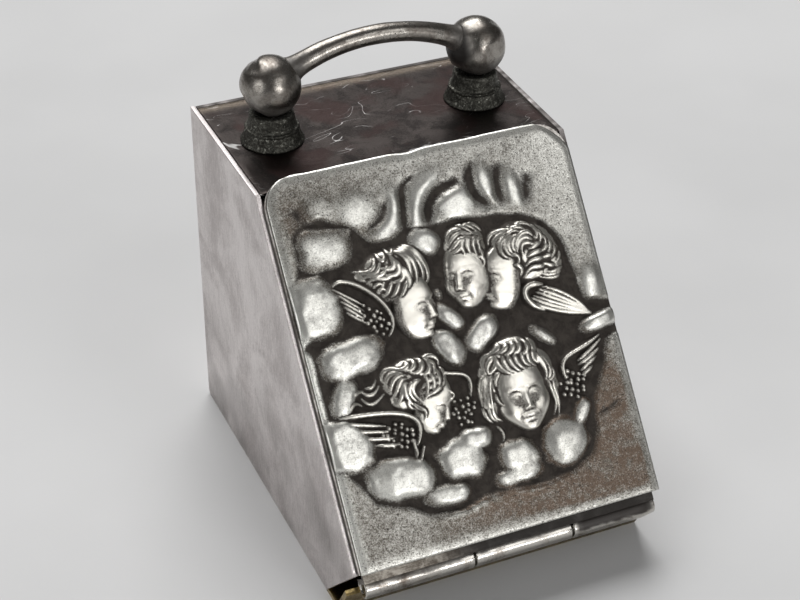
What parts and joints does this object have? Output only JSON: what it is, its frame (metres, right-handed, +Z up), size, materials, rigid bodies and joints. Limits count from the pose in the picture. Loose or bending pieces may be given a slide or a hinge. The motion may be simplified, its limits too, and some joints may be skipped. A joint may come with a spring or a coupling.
{
  "type": "miniature hinged silver box",
  "caption": "Small sloping-front metal box with an embossed hinged lid, ball-ended arched handle and gilt inside.",
  "frame": {"origin": "centre of the flat underside of the base, between the back panel and the bend of the front lip", "axes": "+Z up, the sloping lid faces -Y, +X to the right when the lid is seen from the front"},
  "size_m": [0.03, 0.0396, 0.0424],
  "materials": {
    "body_silver": "satin tarnished silver with vertical streaks",
    "top_silver": "dark brown-purple tarnish with fine scratches",
    "gilt_silver": "worn gilding over silver",
    "hinge_silver": "worn bright silver tube",
    "handle_silver": "grey polished silver with small dents",
    "collar_silver": "rough oxidised silver and old solder",
    "lid_back_silver": "plain silver sheet, lightly tarnished",
    "lid_silver": "embossed bright silver with blackened recesses"
  },
  "bodies": {
    "body": {"left_side_panel": "body_silver", "right_side_panel": "body_silver", "back_panel": "body_silver", "top_plate": "top_silver", "base_plate": "gilt_silver", "hinge_knuckle_left": "hinge_silver", "hinge_knuckle_right": "hinge_silver", "hinge_pin": "handle_silver", "handle_bar": "handle_silver", "handle_ball_left": "handle_silver", "handle_ball_right": "handle_silver", "handle_collar_left": "collar_silver", "handle_collar_right": "collar_silver", "handle_peg_left": "collar_silver", "handle_peg_right": "collar_silver"},
    "lid": {"lid_backing_plate": "lid_back_silver", "lid_plaque": "lid_silver", "lid_bezel": "gilt_silver", "lid_hinge_leaf": "lid_back_silver", "hinge_knuckle_middle": "hinge_silver"}
  },
  "joints": [
    {"name": "lid_hinge", "type": "hinge", "parent": "body", "child": "lid", "pos_m": [0, -0.0208, 0.00417], "axis": [1, 0, 0], "range_deg": [0, 115]}
  ]
}
